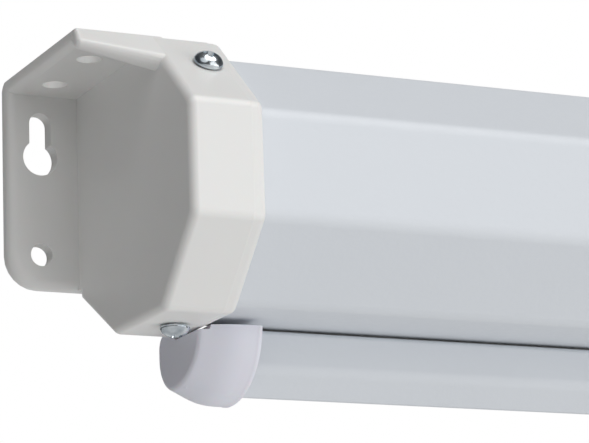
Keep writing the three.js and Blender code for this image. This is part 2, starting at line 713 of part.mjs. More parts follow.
// Pull handle, in a frame centred on its pivot pin below the bar.
function handleBase(screwPlaces) {
  const clearance = GAP * Math.SQRT2;
  const bottom = GRIP_PIVOT_DROP;
  const lowerHalf = BAR_HALF_DEPTH - BAR_FACET;
  const saddle = closedOutline([
    [-BAR_HALF_DEPTH + 1, bottom + BAR_FACET - 1 - clearance],
    [-lowerHalf, bottom - clearance],
    [lowerHalf, bottom - clearance],
    [BAR_HALF_DEPTH - 1, bottom + BAR_FACET - 1 - clearance],
    [BAR_HALF_DEPTH - 1, bottom - 3, 1.2],
    [-BAR_HALF_DEPTH + 1, bottom - 3, 1.2],
  ].reverse());
  const block = extrudeAlongX(saddle, -HANDLE_LENGTH / 2, HANDLE_LENGTH);
  const lugStart = GRIP_WIDTH / 2 + GAP;
  const lugs = [-1, 1].map((side) => {
    const low = side < 0 ? -lugStart - 3 : lugStart;
    const lug = closedOutline([[-3.2, 4.5], [-3.2, -3, 3], [3.2, -3, 3], [3.2, 4.5]]);
    return extrudeAlongX(lug, low, 3);
  });
  const pinHole = rodAlongX(1.5 + GAP, -HANDLE_LENGTH, HANDLE_LENGTH, 20);
  const screwHoles = screwPlaces.map((along) => {
    const hole = new THREE.CylinderGeometry(1.4, 1.4, 20, 16);
    hole.rotateX(Math.PI / 2);
    hole.translate(along, 0, bottom);
    return hole;
  });
  return named('handle_base', subtractAll(joinAll([block, ...lugs]), [pinHole, ...screwHoles]), barPlastic);
}

function handleGrip() {
  const half = GRIP_WIDTH / 2;
  const rim = 4.5;
  const outer = closedOutline([
    [-half + 3, 0],
    [-half, -GRIP_DROP, 6],
    [half, -GRIP_DROP, 6],
    [half - 3, 0],
  ]);
  const hole = closedOutline([
    [-half + 3 + rim, -rim, 2],
    [-half + rim, -GRIP_DROP + rim, 3],
    [half - rim, -GRIP_DROP + rim, 3],
    [half - 3 - rim, -rim, 2],
  ]);
  outer.holes.push(hole);
  const settings = { depth: GRIP_THICKNESS, bevelEnabled: false, curveSegments: 6 };
  const plate = new THREE.ExtrudeGeometry(outer, settings);
  plate.rotateX(Math.PI / 2);
  plate.translate(0, GRIP_THICKNESS / 2, 0);
  const eye = rodAlongX(3, -half, half, 28);
  const bore = rodAlongX(1.5 + GAP, -half - 1, half + 1, 20);
  return named('handle_grip', subtractAll(joinAll([plate, eye]), [bore]), barPlastic);
}

function handleScrew(name) {
  const head = new THREE.CylinderGeometry(2.4, 1.6, 1.4, 20);
  head.rotateX(Math.PI / 2);
  head.translate(0, 0, -0.7 - GAP);
  const shank = new THREE.CylinderGeometry(1.1, 1.1, 7, 16);
  shank.rotateX(Math.PI / 2);
  shank.translate(0, 0, 3 - GAP);
  return named(name, joinAll([head, shank]), zinc);
}

function bottomBar() {
  const bar = new THREE.Group();
  const screwReach = HANDLE_LENGTH / 2 - 5;
  const middle = CAP_SPAN / 2;
  bar.add(barTube([middle - screwReach, middle + screwReach]));
  bar.add(barCap('left_bar_cap'));
  const rightEnd = new THREE.Group();
  rightEnd.add(barCap('right_bar_cap'));
  rightEnd.position.x = CAP_SPAN;
  rightEnd.scale.x = -1;
  bar.add(rightEnd, fabricSpline(), fabricDrop());
  const handle = new THREE.Group();
  handle.position.set(middle, 0, -BAR_HEIGHT - GRIP_PIVOT_DROP);
  handle.add(handleBase([-screwReach, screwReach]), handleGrip());
  const pin = rodAlongX(1.5, -GRIP_WIDTH / 2 - 3, GRIP_WIDTH / 2 + 3, 20);
  handle.add(named('handle_pin', pin, zinc));
  [['left', -screwReach], ['right', screwReach]].forEach(([side, along]) => {
    const screw = handleScrew(`handle_${side}_screw`);
    screw.position.set(along, 0, GRIP_PIVOT_DROP - 3);
    handle.add(screw);
  });
  bar.add(handle);
  bar.position.set(0, -FABRIC_DEPTH, BAR_TOP);
  return bar;
}

// The whole blind, shifted so that the left bracket's mount centre is the origin.
const blind = new THREE.Group();
const rightEnd = endAssembly('right');
rightEnd.position.x = CAP_SPAN;
rightEnd.scale.x = -1;
blind.add(caseShell(), endAssembly('left'), rightEnd, rollerAssembly(), bottomBar());
blind.position.x = BRACKET_REACH;

export default blind;
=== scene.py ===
import math

import bmesh
import bpy
from mathutils import Matrix, Vector


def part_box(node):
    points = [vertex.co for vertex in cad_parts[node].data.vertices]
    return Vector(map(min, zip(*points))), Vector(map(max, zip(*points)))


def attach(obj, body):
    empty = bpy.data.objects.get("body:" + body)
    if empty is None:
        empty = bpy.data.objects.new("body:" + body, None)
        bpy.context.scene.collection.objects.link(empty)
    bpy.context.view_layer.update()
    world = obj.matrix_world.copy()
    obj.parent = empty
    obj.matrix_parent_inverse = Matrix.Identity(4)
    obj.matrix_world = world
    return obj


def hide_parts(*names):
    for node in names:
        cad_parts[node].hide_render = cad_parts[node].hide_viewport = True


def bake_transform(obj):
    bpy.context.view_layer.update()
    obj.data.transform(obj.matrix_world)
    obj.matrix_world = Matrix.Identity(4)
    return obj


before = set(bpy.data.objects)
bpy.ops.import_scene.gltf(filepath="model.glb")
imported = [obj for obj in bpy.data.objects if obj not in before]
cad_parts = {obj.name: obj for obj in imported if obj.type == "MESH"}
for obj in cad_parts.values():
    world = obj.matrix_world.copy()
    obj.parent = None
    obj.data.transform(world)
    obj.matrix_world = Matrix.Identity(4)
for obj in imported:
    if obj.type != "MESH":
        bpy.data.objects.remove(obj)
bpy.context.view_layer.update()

# A boxed pull-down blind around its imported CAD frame. Shape constants are in millimetres and are
# turned into metres as each mesh is made. +X runs along the case, -Y faces the room, +Z is up.
# "Along" is measured from an end plate's outer face towards the middle, "depth" from the wall.
MM = 0.001
# The clearance between pieces that fit into each other.
FIT_GAP = 0.3
LENGTH_STEPS = 12


# ---------------------------------------------------------------- outlines and meshes

def offset_corners(corners, distance, closed=True, least=0.0):
    """Moves each edge of a polyline to its left, and meets the edges again at the corners."""
    count = len(corners)

    def normal(index):
        edge = Vector(corners[(index + 1) % count][:2]) - Vector(corners[index % count][:2])
        edge.normalize()
        return Vector((-edge.y, edge.x))

    moved = []
    for index, (u, v, radius) in enumerate(corners):
        before = normal(index - 1) if closed or index > 0 else normal(index)
        after = normal(index) if closed or index < count - 1 else normal(index - 1)
        shift = (before + after) * (distance / (1 + before.dot(after)))
        kept = max(radius - distance, least) if radius > 0 else 0
        moved.append((u + shift.x, v + shift.y, kept))
    return moved


def rounded(corners, steps=6, closed=True):
    """The points of an outline whose corners (u, v, radius) are rounded by arcs."""
    points = []
    count = len(corners)
    for index, (u, v, radius) in enumerate(corners):
        corner = Vector((u, v))
        at_end = not closed and index in (0, count - 1)
        if radius <= 0 or at_end:
            points.append(corner)
            continue
        back = (Vector(corners[index - 1][:2]) - corner).normalized()
        on = (Vector(corners[(index + 1) % count][:2]) - corner).normalized()
        half = math.acos(max(-1, min(1, back.dot(on)))) / 2
        centre = corner + (back + on).normalized() * (radius / math.sin(half))
        first = corner + back * (radius / math.tan(half)) - centre
        last = corner + on * (radius / math.tan(half)) - centre
        sweep = math.pi - 2 * half
        for step in range(steps + 1):
            share = step / steps
            a = math.sin((1 - share) * sweep) / math.sin(sweep)
            b = math.sin(share * sweep) / math.sin(sweep)
            points.append(centre + first * a + last * b)
    return points


def folded_sheet(corners, thickness, steps=8):
    """A folded sheet's section: its outer corners, which run with the inside on their left, and
    the same corners moved in."""
    inner = offset_corners(corners, thickness, closed=False, least=0.3)
    return rounded(corners, steps, closed=False) + rounded(inner, steps, closed=False)[::-1]


def make_object(name, vertices, faces):
    mesh = bpy.data.meshes.new(name)
    mesh.from_pydata([Vector(v) * MM for v in vertices], [], faces)
    work = bmesh.new()
    work.from_mesh(mesh)
    bmesh.ops.recalc_face_normals(work, faces=work.faces)
    work.to_mesh(mesh)
    work.free()
    obj = bpy.data.objects.new(name, mesh)
    bpy.context.scene.collection.objects.link(obj)
    return obj


def skin(name, rings):
    """A closed mesh through rings of equal length, with a face at each end."""
    size = len(rings[0])
    vertices = [point for ring in rings for point in ring]
    faces = []
    for index in range(len(rings) - 1):
        here = index * size
        there = here + size
        for step in range(size):
            after = (step + 1) % size
            faces.append((here + step, here + after, there + after, there + step))
    faces.append(tuple(range(size))[::-1])
    faces.append(tuple(range((len(rings) - 1) * size, len(rings) * size)))
    return make_object(name, vertices, faces)


def across(points, x):
    """Outline points (-depth, height) placed at x."""
    return [(x, point[0], point[1]) for point in points]


def lengthwise(section, low, high):
    """A section repeated along a piece from one end of its box to the other."""
    step = (high.x - low.x) / MM / LENGTH_STEPS
    return [across(section, low.x / MM + step * index) for index in range(LENGTH_STEPS + 1)]


def flat(points, z):
    return [(point[0], point[1], z) for point in points]


def upright(points, y):
    return [(point[0], y, point[1]) for point in points]


def turned(name, profile, sides=48):
    """A solid of revolution about Z. The profile (radius, z) starts and ends near the axis."""
    rings = []
    for radius, z in profile:
        ring = []
        for side in range(sides):
            angle = 2 * math.pi * side / sides
            ring.append((radius * math.cos(angle), radius * math.sin(angle), z))
        rings.append(ring)
    return skin(name, rings)


def combine(obj, others, operation):
    """Joins other solids to obj or cuts them from it, and removes them."""
    for other in others:
        modifier = obj.modifiers.new("join", "BOOLEAN")
        modifier.operation = operation
        modifier.solver = "EXACT"
        modifier.object = other
        graph = bpy.context.evaluated_depsgraph_get()
        mesh = bpy.data.meshes.new_from_object(obj.evaluated_get(graph))
        obj.modifiers.clear()
        obj.data = mesh
        bpy.data.objects.remove(other)
    return obj


def mirrored(obj, name, middle_x):
    """A copy of obj on the other side of the plane x = middle_x."""
    copy = obj.copy()
    copy.data = obj.data.copy()
    copy.name = copy.data.name = name
    bpy.context.scene.collection.objects.link(copy)
    flip = Matrix.Translation((2 * middle_x, 0, 0)) @ Matrix.Diagonal((-1, 1, 1, 1))
    copy.data.transform(flip)
    copy.data.flip_normals()
    return copy


def smooth(obj, angle=32, weighted=True):
    obj.data.shade_smooth()
    obj.data.set_sharp_from_angle(angle=math.radians(angle))
    if weighted:
        modifier = obj.modifiers.new("weighted", "WEIGHTED_NORMAL")
        modifier.keep_sharp = True
    return obj


def clean(obj, distance=0.004):
    work = bmesh.new()
    work.from_mesh(obj.data)
    bmesh.ops.remove_doubles(work, verts=work.verts, dist=distance * MM)
    bmesh.ops.dissolve_degenerate(work, edges=work.edges, dist=distance * MM)
    work.to_mesh(obj.data)
    work.free()
    return obj


def finished(obj, body, material_slot, replaced):
    obj.data.materials.clear()
    obj.data.materials.append(MATERIALS[material_slot])
    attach(obj, body)
    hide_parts(*replaced)
    return obj


# ---------------------------------------------------------------- materials

def node(tree, kind, inputs=None, **settings):
    made = tree.nodes.new(kind)
    for key, value in settings.items():
        setattr(made, key, value)
    for key, value in (inputs or {}).items():
        if isinstance(value, bpy.types.NodeSocket):
            tree.links.new(value, made.inputs[key])
        else:
            made.inputs[key].default_value = value
    return made


def start_material(name, **shader):
    material = bpy.data.materials.new(name)
    material.use_nodes = True
    tree = material.node_tree
    bsdf = tree.nodes["Principled BSDF"]
    for key, value in shader.items():
        bsdf.inputs[key.replace("_", " ")].default_value = value
    place = tree.nodes.new("ShaderNodeTexCoord").outputs["Object"]
    return material, tree, bsdf, place


def noise(tree, place, scale, detail=2.0, stretch=(1, 1, 1)):
    mapping = node(tree, "ShaderNodeMapping", {"Vector": place, "Scale": stretch})
    texture = node(
        tree,
        "ShaderNodeTexNoise",
        {"Vector": mapping.outputs[0], "Scale": scale, "Detail": detail},
    )
    return texture.outputs[0]


def ranged(tree, value, low, high):
    """The middle of a noise's range, spread from low to high."""
    made = node(
        tree,
        "ShaderNodeMapRange",
        {"Value": value, "From Min": 0.3, "From Max": 0.7, "To Min": low, "To Max": high},
    )
    return made.outputs[0]


def tinted(tree, factor, first, second):
    made = node(tree, "ShaderNodeMix", data_type="RGBA")
    tree.links.new(factor, made.inputs[0])
    made.inputs[6].default_value = (*first, 1)
    made.inputs[7].default_value = (*second, 1)
    return made.outputs[2]


def multiplied(tree, first, second):
    return node(tree, "ShaderNodeMath", {0: first, 1: second}, operation="MULTIPLY").outputs[0]


def bumped(tree, bsdf, heights):
    """Lays bumps over each other. Each is (height, strength, distance in metres)."""
    normal = None
    for height, strength, distance in heights:
        inputs = {"Height": height, "Strength": strength, "Distance": distance}
        if normal is not None:
            inputs["Normal"] = normal
        normal = node(tree, "ShaderNodeBump", inputs).outputs[0]
    tree.links.new(normal, bsdf.inputs["Normal"])


def moulded_plastic(name, colours, roughness, grain, **shader):
    """Smooth moulded plastic: faint flow marks, a fine grain and slightly uneven gloss."""
    material, tree, bsdf, place = start_material(name, **shader)
    flow = noise(tree, place, 14, 3, (1, 1, 0.4))
    fine = noise(tree, place, 1400, 2)
    uneven = noise(tree, place, 60, 4)
    tree.links.new(tinted(tree, ranged(tree, flow, 0, 1), *colours), bsdf.inputs["Base Color"])
    tree.links.new(ranged(tree, uneven, *roughness), bsdf.inputs["Roughness"])
    bumped(tree, bsdf, [(fine, grain, 0.00002), (uneven, 0.12, 0.00008)])
    return material


def powder_coat(name, colours, roughness):
    """Powder-coated steel: orange peel about a millimetre across over a slow waviness."""
    material, tree, bsdf, place = start_material(name, Coat_Weight=0.12, Coat_Roughness=0.3)
    peel = noise(tree, place, 620, 3, (0.8, 1, 1))
    wave = noise(tree, place, 26, 2, (0.25, 1, 1))
    speck = noise(tree, place, 2600, 1)
    tone = ranged(tree, noise(tree, place, 9, 3), 0, 1)
    tree.links.new(tinted(tree, tone, *colours), bsdf.inputs["Base Color"])
    tree.links.new(ranged(tree, peel, *roughness), bsdf.inputs["Roughness"])
    bumped(
        tree,
        bsdf,
        [(wave, 0.12, 0.0003), (peel, 0.8, 0.00006), (speck, 0.12, 0.00002)],
    )
    return material


def metal(name, colours, roughness, stretch, scratch):
    """Plated or drawn metal, with a grain that may run along one axis."""
    material, tree, bsdf, place = start_material(name, Metallic=1.0)
    grain = noise(tree, place, 900, 4, stretch)
    # Patches that shift the base colour between two colours: a slight random tone on the steels,
    # painted reflections on the zinc.
    tone_and_painted_reflection = noise(tree, place, 380, 1)
    tree.links.new(tinted(tree, ranged(tree, tone_and_painted_reflection, 0, 1), *colours), bsdf.inputs["Base Color"])
    tree.links.new(ranged(tree, grain, *roughness), bsdf.inputs["Roughness"])
    bumped(tree, bsdf, [(grain, scratch, 0.00002)])
    return material


def woven_cloth(name):
    """A plain weave of flat white yarns, 0.6 mm apart, with slubs and a matt coating."""
    material, tree, bsdf, place = start_material(name, Roughness=0.85)
    yarns = []
    for direction in ("X", "Z"):
        wave = node(
            tree,
            "ShaderNodeTexWave",
            {"Vector": place, "Scale": 520.0, "Distortion": 0.6, "Detail": 1.0},
            wave_type="BANDS",
            bands_direction=direction,
        )
        yarns.append(wave.outputs["Fac"])
    weave = multiplied(tree, *yarns)
    slub = noise(tree, place, 300, 3, (1, 1, 0.08))
    mottled = multiplied(tree, weave, slub)
    base = tinted(tree, mottled, (0.70, 0.69, 0.66), (0.86, 0.855, 0.83))
    tree.links.new(base, bsdf.inputs["Base Color"])
    bumped(tree, bsdf, [(weave, 0.5, 0.0001), (slub, 0.25, 0.0001)])
    return material


MATERIALS = {
    "powder_coat": powder_coat(
        "powder_coat", ((0.655, 0.685, 0.725), (0.675, 0.705, 0.745)), (0.38, 0.5)
    ),
    "cap_plastic": moulded_plastic(
        "cap_plastic", ((0.755, 0.752, 0.738), (0.775, 0.772, 0.76)), (0.3, 0.38), 0.1,
        Subsurface_Weight=0.06, Subsurface_Scale=0.002,
    ),
    "bar_plastic": moulded_plastic(
        "bar_plastic", ((0.72, 0.725, 0.80), (0.74, 0.745, 0.815)), (0.34, 0.46), 0.18,
        Subsurface_Weight=0.12, Subsurface_Scale=0.003,
    ),
    # The zinc's dark colour is a painted reflection: its patches stand in for dark surroundings
    # mirrored in the plating, beside the plating's own bright colour.
    "zinc": metal("zinc", ((0.28, 0.33, 0.38), (0.90, 0.95, 0.98)), (0.13, 0.24), (1, 1, 1), 0.15),
    "bare_steel": metal(
        "bare_steel", ((0.50, 0.51, 0.52), (0.60, 0.61, 0.62)), (0.3, 0.45), (0.03, 1, 1), 0.25
    ),
    "spring_steel": metal(
        "spring_steel", ((0.15, 0.16, 0.18), (0.24, 0.25, 0.27)), (0.35, 0.5), (1, 1, 1), 0.2
    ),
    "black_nylon": moulded_plastic(
        "black_nylon", ((0.018, 0.019, 0.02), (0.028, 0.029, 0.031)), (0.42, 0.58), 0.35
    ),
    "blind_fabric": woven_cloth("blind_fabric"),
}

# ---------------------------------------------------------------- end caps

CAP_LENGTH = 18.3
CUP_FRONT = 72.0
UPPER_FOLD = 10.7
LOWER_FOLD = -15.7
FRONT_FOLD_DEPTH = 53.7
BACK_FOLD_DEPTH = 24.3
BACK_FOLD_HEIGHT = -21.5
WING_WIDTH = 17.8
CAP_TOP = 31.6
CAP_BOTTOM = -34.0
TAB_THICKNESS = 4.0
TAB_BOTTOM = -19.3
FLANGE_THICKNESS = 3.4
FLANGE_DEPTH = 48.9
BACK_EDGE_RADIUS = 3.7
BRACKET_REACH = 9.5
CAP_WALL = 1.9
END_PLATE = 2.4
TOP_DROP = 2.2
WING_ROUND = 2.4
PLATE_ROUND = 2.0
KEYHOLE_HEIGHT = 12.8
KEYHOLE_RADIUS = 4.4
KEYHOLE_NECK = 2.75
KEYHOLE_RISE = 8.4
ROUND_HOLE_HEIGHT = -11.2
ROUND_HOLE_RADIUS = 2.75
CEILING_HOLE_DEPTHS = (14.5, 36.8)
CEILING_HOLE_RADIUS = 3.0
# The cup's outline as (depth, height, corner radius), from the wall's top round the front.
CUP_OUTLINE = [
    (TAB_THICKNESS, CAP_TOP, 0),
    (FLANGE_DEPTH, CAP_TOP, 5.0),
    (CUP_FRONT, UPPER_FOLD, 3.4),
    (CUP_FRONT, LOWER_FOLD, 3.4),
    (FRONT_FOLD_DEPTH, CAP_BOTTOM, 3.4),
    (BACK_FOLD_DEPTH, CAP_BOTTOM, 2.5),
    (TAB_THICKNESS, BACK_FOLD_HEIGHT, 0),
]
# The rib under the flange's front edge, at the wing's tip and at the end plate.
RIB_TIP = [(45.4, 29.6, 0), (48.7, 31.6, 0.4), (50.7, 27.2, 1.4), (47.7, 27.0, 0.8)]
RIB_ROOT = [(46.4, 29.6, 0), (48.9, 31.6, 0.4), (59.6, 21.9, 2.2), (52.3, 21.7, 2.6)]


def forward(corners):
    return [(-depth, height, radius) for depth, height, radius in corners]


def lowered(corners):
    """The cup's outline with its top lower, as its inside and the case have it."""
    back, front, upper = corners[:3]
    slope = (upper[0] - front[0]) / (front[1] - upper[1])
    top = CAP_TOP - TOP_DROP
    moved = [(back[0], top, 0), (front[0] + TOP_DROP * slope, top, front[2])]
    return moved + list(corners[2:])


def quarter(radius, steps=7):
    """(along, inset) pairs of a quarter round, from the flat face to the side."""
    turns = [math.pi / 2 * step / steps for step in range(steps + 1)]
    return [(radius * (1 - math.cos(t)), radius * (1 - math.sin(t))) for t in turns]


def cup(x):
    outer, inner = forward(CUP_OUTLINE), forward(lowered(CUP_OUTLINE))
    lip = [(15.0, 0), (15.25, 0.10), (15.6, 0.14), (16.6, 0.16), (17.3, 0.27), (17.8, 0.5)]
    lip.append((18.15, 0.85))
    outside = quarter(PLATE_ROUND) + lip + [(CAP_LENGTH, 1.25)]
    inside = [(CAP_LENGTH, 1.6), (18.1, 1.8), (17.8, CAP_WALL), (END_PLATE, CAP_WALL)]
    rings = []
    for stations, corners in ((outside, outer), (inside, inner)):
        for along, inset in stations:
            outline = offset_corners(corners, inset, least=0.15)
            rings.append(across(rounded(outline), x + along))
    return skin("cup", rings)


def plate(corners, rounding, thickness, place, steps=6):
    """A plate whose front border is rounded. place turns a thickness into a ring's place."""
    stations = [(0, 0.3), (0.3, 0), (thickness - rounding, 0)]
    for along, inset in quarter(rounding, steps)[::-1][1:]:
        stations.append((thickness - along, inset))
    outlines = [rounded(offset_corners(corners, inset, least=0.15)) for _, inset in stations]
    return [place(outline, at) for outline, (at, _) in zip(outlines, stations)]


def wing(x):
    """The wall tab, the ceiling flange and what stiffens them, as separate solids."""

    def off_wall(ring, at):
        return upright(ring, -at)

    def off_ceiling(ring, at):
        return flat(ring, CAP_TOP - at)

    left, right = x - WING_WIDTH, x + 6.0
    tab = [(left, CAP_TOP, 0.5), (left, TAB_BOTTOM, 8), (right, TAB_BOTTOM, 0.5)]
    tab.append((right, CAP_TOP, 0.5))
    solids = [skin("tab", plate(tab, WING_ROUND, TAB_THICKNESS, off_wall))]
    end = x + CAP_LENGTH
    back = [(x + 1, CAP_TOP, 0), (x + 1, TAB_BOTTOM, 0), (end, TAB_BOTTOM, 0.8)]
    back.append((end, CAP_TOP, 0.8))
    solids.append(skin("back", plate(back, 0.4, TAB_THICKNESS + 0.3, off_wall)))
    right = x + 4
    flange = [(left, 0, 0.5), (left, -FLANGE_DEPTH, 0.6), (right, -FLANGE_DEPTH, 0.5)]
    flange.append((right, 0, 0.5))
    solids.append(skin("flange", plate(flange, WING_ROUND, FLANGE_THICKNESS, off_ceiling)))
    rings = []
    for along, inset in ((0, 0.9), (0.15, 0.5), (0.5, 0.15), (1.0, 0), (WING_WIDTH + 1.2, 0)):
        share = along / WING_WIDTH
        mixed = [
            tuple(a + (b - a) * share for a, b in zip(tip, root))
            for tip, root in zip(RIB_TIP, RIB_ROOT)
        ]
        outline = offset_corners(forward(mixed), inset, least=0.1)
        rings.append(across(rounded(outline), left + along))
    solids.append(skin("rib", rings))
    bottom, top = TAB_BOTTOM + 0.2, CAP_TOP - 1
    spine = [(x, bottom), (x + 3, bottom), (x + 3, top), (x, top)]
    solids.append(skin("spine", [upright(spine, -2), upright(spine, -8)]))
    return solids


def pillar(name, centre, radius, axis, start, end, sides=40):
    """A round cutter along Y or Z."""
    rings = []
    for place in (start, end):
        ring = []
        for side in range(sides):
            angle = 2 * math.pi * side / sides
            u = centre[0] + radius * math.cos(angle)
            v = centre[1] + radius * math.sin(angle)
            ring.append((u, place, v) if axis == "Y" else (u, v, place))
        rings.append(ring)
    return skin(name, rings)


def keyhole(x):
    """A round entry for a screw's head, and a narrow slot above it."""
    radius, neck = KEYHOLE_RADIUS, KEYHOLE_NECK
    start = math.atan2(math.sqrt(radius**2 - neck**2), neck)
    outline = []
    for step in range(33):
        angle = math.pi - start + (math.pi + 2 * start) * step / 32
        outline.append((x + radius * math.cos(angle), KEYHOLE_HEIGHT + radius * math.sin(angle)))
    top = KEYHOLE_HEIGHT + KEYHOLE_RISE
    for step in range(17):
        angle = math.pi * step / 16
        outline.append((x + neck * math.cos(angle), top + neck * math.sin(angle)))
    return skin("keyhole", [upright(outline, 3), upright(outline, -TAB_THICKNESS - 3)])


def back_edge(x):
    """What rounding takes off the edge between the wall face and the ceiling face."""
    radius = BACK_EDGE_RADIUS
    outline = [(2, CAP_TOP + 2), (-radius, CAP_TOP + 2)]
    for step in range(11):
        angle = math.pi / 2 * (1 - step / 10)
        u, v = -radius + radius * math.cos(angle), CAP_TOP - radius + radius * math.sin(angle)
        outline.append((u, v))
    outline.append((2, CAP_TOP - radius))
    left, right = x - WING_WIDTH - 2, x + CAP_LENGTH + 2
    return skin("back_edge", [across(outline, left), across(outline, right)])


def end_cap(x):
    body = combine(cup(x), wing(x), "UNION")
    middle = x - BRACKET_REACH
    cutters = [back_edge(x), keyhole(middle)]
    wall_hole = (middle, ROUND_HOLE_HEIGHT)
    cutters.append(pillar("hole", wall_hole, ROUND_HOLE_RADIUS, "Y", 3, -TAB_THICKNESS - 3))
    for depth in CEILING_HOLE_DEPTHS:
        hole = (middle, -depth)
        cutters.append(pillar("hole", hole, CEILING_HOLE_RADIUS, "Z", CAP_TOP - 8, CAP_TOP + 4))
    return clean(combine(body, cutters, "DIFFERENCE"))


cap_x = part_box("left_end_cap")[1].x / MM - CAP_LENGTH
MIDDLE_X = (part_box("left_end_cap")[1].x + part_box("right_end_cap")[0].x) / 2
left_cap = end_cap(cap_x)
left_cap.name = "left_cap_moulding"
right_cap = mirrored(left_cap, "right_cap_moulding", MIDDLE_X)
for cap_piece, side in ((left_cap, "left"), (right_cap, "right")):
    smooth(cap_piece)
    finished(cap_piece, "case", "cap_plastic", [f"{side}_end_cap"])

# ---------------------------------------------------------------- cap screws

# (radius, height above the seat) of a pan head screw, from its tip to the top of its head.
SCREW_PROFILE = [
    (0.01, -9.5), (0.5, -9.5), (1.72, -6.5), (1.72, 0.28), (3.28, 0.28), (3.45, 0.38), (3.52, 0.6),
    (3.47, 0.95), (3.3, 1.4), (2.95, 1.88), (2.45, 2.28), (1.85, 2.58), (1.2, 2.78), (0.6, 2.87),
    (0.01, 2.9),
]


def cross_recess():
    """The tapered cross of a Phillips recess, wider at the top, as two crossed wedges."""
    wedges = []
    for turn in (0, math.pi / 2):
        rings = []
        for z, length, width in ((0.3, 0.6, 0.3), (1.2, 1.1, 0.42), (3.2, 1.95, 0.66)):
            corners = [(-length, -width), (length, -width), (length, width), (-length, width)]
            cos, sin = math.cos(turn), math.sin(turn)
            rings.append([(u * cos - v * sin, u * sin + v * cos, z) for u, v in corners])
        wedges.append(skin("recess", rings))
    core = turned("core", [(0.01, -0.2), (0.6, 0.4), (0.95, 2.0), (1.15, 3.2), (0.01, 3.2)], 24)
    return wedges + [core]


def cap_screw(name, place, tilt, spin):
    screw = clean(combine(turned(name, SCREW_PROFILE), cross_recess(), "DIFFERENCE"), 0.002)
    seat = Matrix.Translation(Vector(place) * MM)
    screw.data.transform(seat @ Matrix.Rotation(tilt, 4, "X") @ Matrix.Rotation(spin, 4, "Z"))
    return smooth(screw, 40, weighted=False)


CHAMFER_TILT = math.atan2(CAP_TOP - UPPER_FOLD, CUP_FRONT - FLANGE_DEPTH)
# Each screw's place, depth, height, tilt from upright and turn of its recess.
CAP_SCREWS = (
    ("upper", 58.5, 22.9, CHAMFER_TILT, math.radians(-20)),
    ("lower", 38.4, CAP_BOTTOM, math.pi, math.radians(35)),
)
for side in ("left", "right"):
    for place, depth, height, tilt, spin in CAP_SCREWS:
        cad_name = f"{side}_{place}_screw"
        low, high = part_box(cad_name)
        seat = ((low.x + high.x) / 2 / MM, -depth, height)
        screw = cap_screw(f"{side}_{place}_pan_screw", seat, tilt, spin)
        finished(screw, "case", "zinc", [cad_name])

# ---------------------------------------------------------------- case

# The angle in degrees above which an edge of folded sheet or extrusion stays sharp.
SHEET_CREASE = 40
CASE_THICKNESS = 1.0
CASE_BEND = 5.0
FABRIC_DEPTH = 25.6
SLOT_HALF = 3.8


def case_section():
    outline = offset_corners(forward(lowered(CUP_OUTLINE)), CAP_WALL + FIT_GAP)
    back_top, front_top, upper, lower, front_bottom, back_bottom, back_lower = outline
    slot_back = -FABRIC_DEPTH + SLOT_HALF
    share = (slot_back - back_bottom[0]) / (back_lower[0] - back_bottom[0])
    slot_edge = (slot_back, back_bottom[1] + share * (back_lower[1] - back_bottom[1]), 0)
    folds = [slot_edge, back_lower, back_top, front_top, upper, lower, front_bottom]
    folds.append((-FABRIC_DEPTH - SLOT_HALF, front_bottom[1], 0))
    return [(u, v, CASE_BEND) for u, v, _ in folds]


case_low, case_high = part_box("case_shell")
case_sheet = folded_sheet(case_section(), CASE_THICKNESS)
case_piece = smooth(skin("case_folding", lengthwise(case_sheet, case_low, case_high)), SHEET_CREASE)
finished(case_piece, "case", "powder_coat", ["case_shell"])

# ---------------------------------------------------------------- bottom bar

BAR_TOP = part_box("bar_tube")[1].z / MM
BAR_HALF = 6.3
BAR_FACET = 5.6
BAR_HEIGHT = 15.2
BAR_WALL = 1.2
BAR_CORNERS = [
    (BAR_HALF, 0, 1.2),
    (BAR_HALF, -BAR_HEIGHT + BAR_FACET, 4.5),
    (BAR_HALF - BAR_FACET, -BAR_HEIGHT, 0.6),
    (-BAR_HALF + BAR_FACET, -BAR_HEIGHT, 0.6),
    (-BAR_HALF, -BAR_HEIGHT + BAR_FACET, 4.5),
    (-BAR_HALF, 0, 1.2),
]


def on_bar(points):
    """Bar points, drawn about the fabric's plane and the bar's top, moved to the bar's place."""
    return [(point[0] - FABRIC_DEPTH, point[1] + BAR_TOP) for point in points]


tube_low, tube_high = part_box("bar_tube")
lip_corners = [(1.2, 0, 0), *BAR_CORNERS, (-1.2, 0, 0)]
tube_section = on_bar(folded_sheet(lip_corners[::-1], BAR_WALL, 6))
tube_rings = lengthwise(tube_section, tube_low, tube_high)
tube_piece = smooth(skin("bar_extrusion", tube_rings), SHEET_CREASE)
finished(tube_piece, "bottom_bar", "powder_coat", ["bar_tube"])

# (along, half depth, height) of a bar cap's outside, from its end face to its rim.
CAP_STATIONS = [
    (0.0, 11.2, 12.4), (0.12, 11.65, 12.85), (0.4, 12.1, 13.3), (0.9, 12.42, 13.62),
    (1.6, 12.68, 13.9), (2.5, 13.01, 14.31), (2.75, 13.1, 14.43), (4.8, 13.83, 15.35),
    (6.2, 14.26, 15.9), (7.4, 14.55, 16.27), (8.6, 14.75, 16.53), (9.8, 14.87, 16.69),
    (11.2, 14.94, 16.78), (13.6, 14.95, 16.8),
    (13.9, 15.05, 16.9), (14.6, 15.05, 16.9), (15.0, 14.85, 16.7), (15.2, 14.4, 16.25),
]
# The same for its inside, from the rim to the end face.
CAP_HOLLOW = [
    (15.2, 13.8, 15.65), (15.05, 13.45, 15.3), (14.7, 13.35, 15.2), (7.8, 13.1, 14.9),
    (1.6, 10.9, 12.1),
]
CAP_INSIDE_DROP = 1.6
# How far the cap's top is set down where it runs under the end cap, and how far along that is.
CAP_SET_DOWN = 1.0
CAP_SET_DOWN_LENGTH = 2.6
BAR_CAP_DROP = 0.9
BAR_CAP_KEEL = 3.9
BAR_CAP_BACK_TOP = 2.6
BAR_CAP_TOP_ROUND = 4.5
BAR_CAP_STEP = 1.4
PLUG_START = 1.5
PLUG_END = 29.6
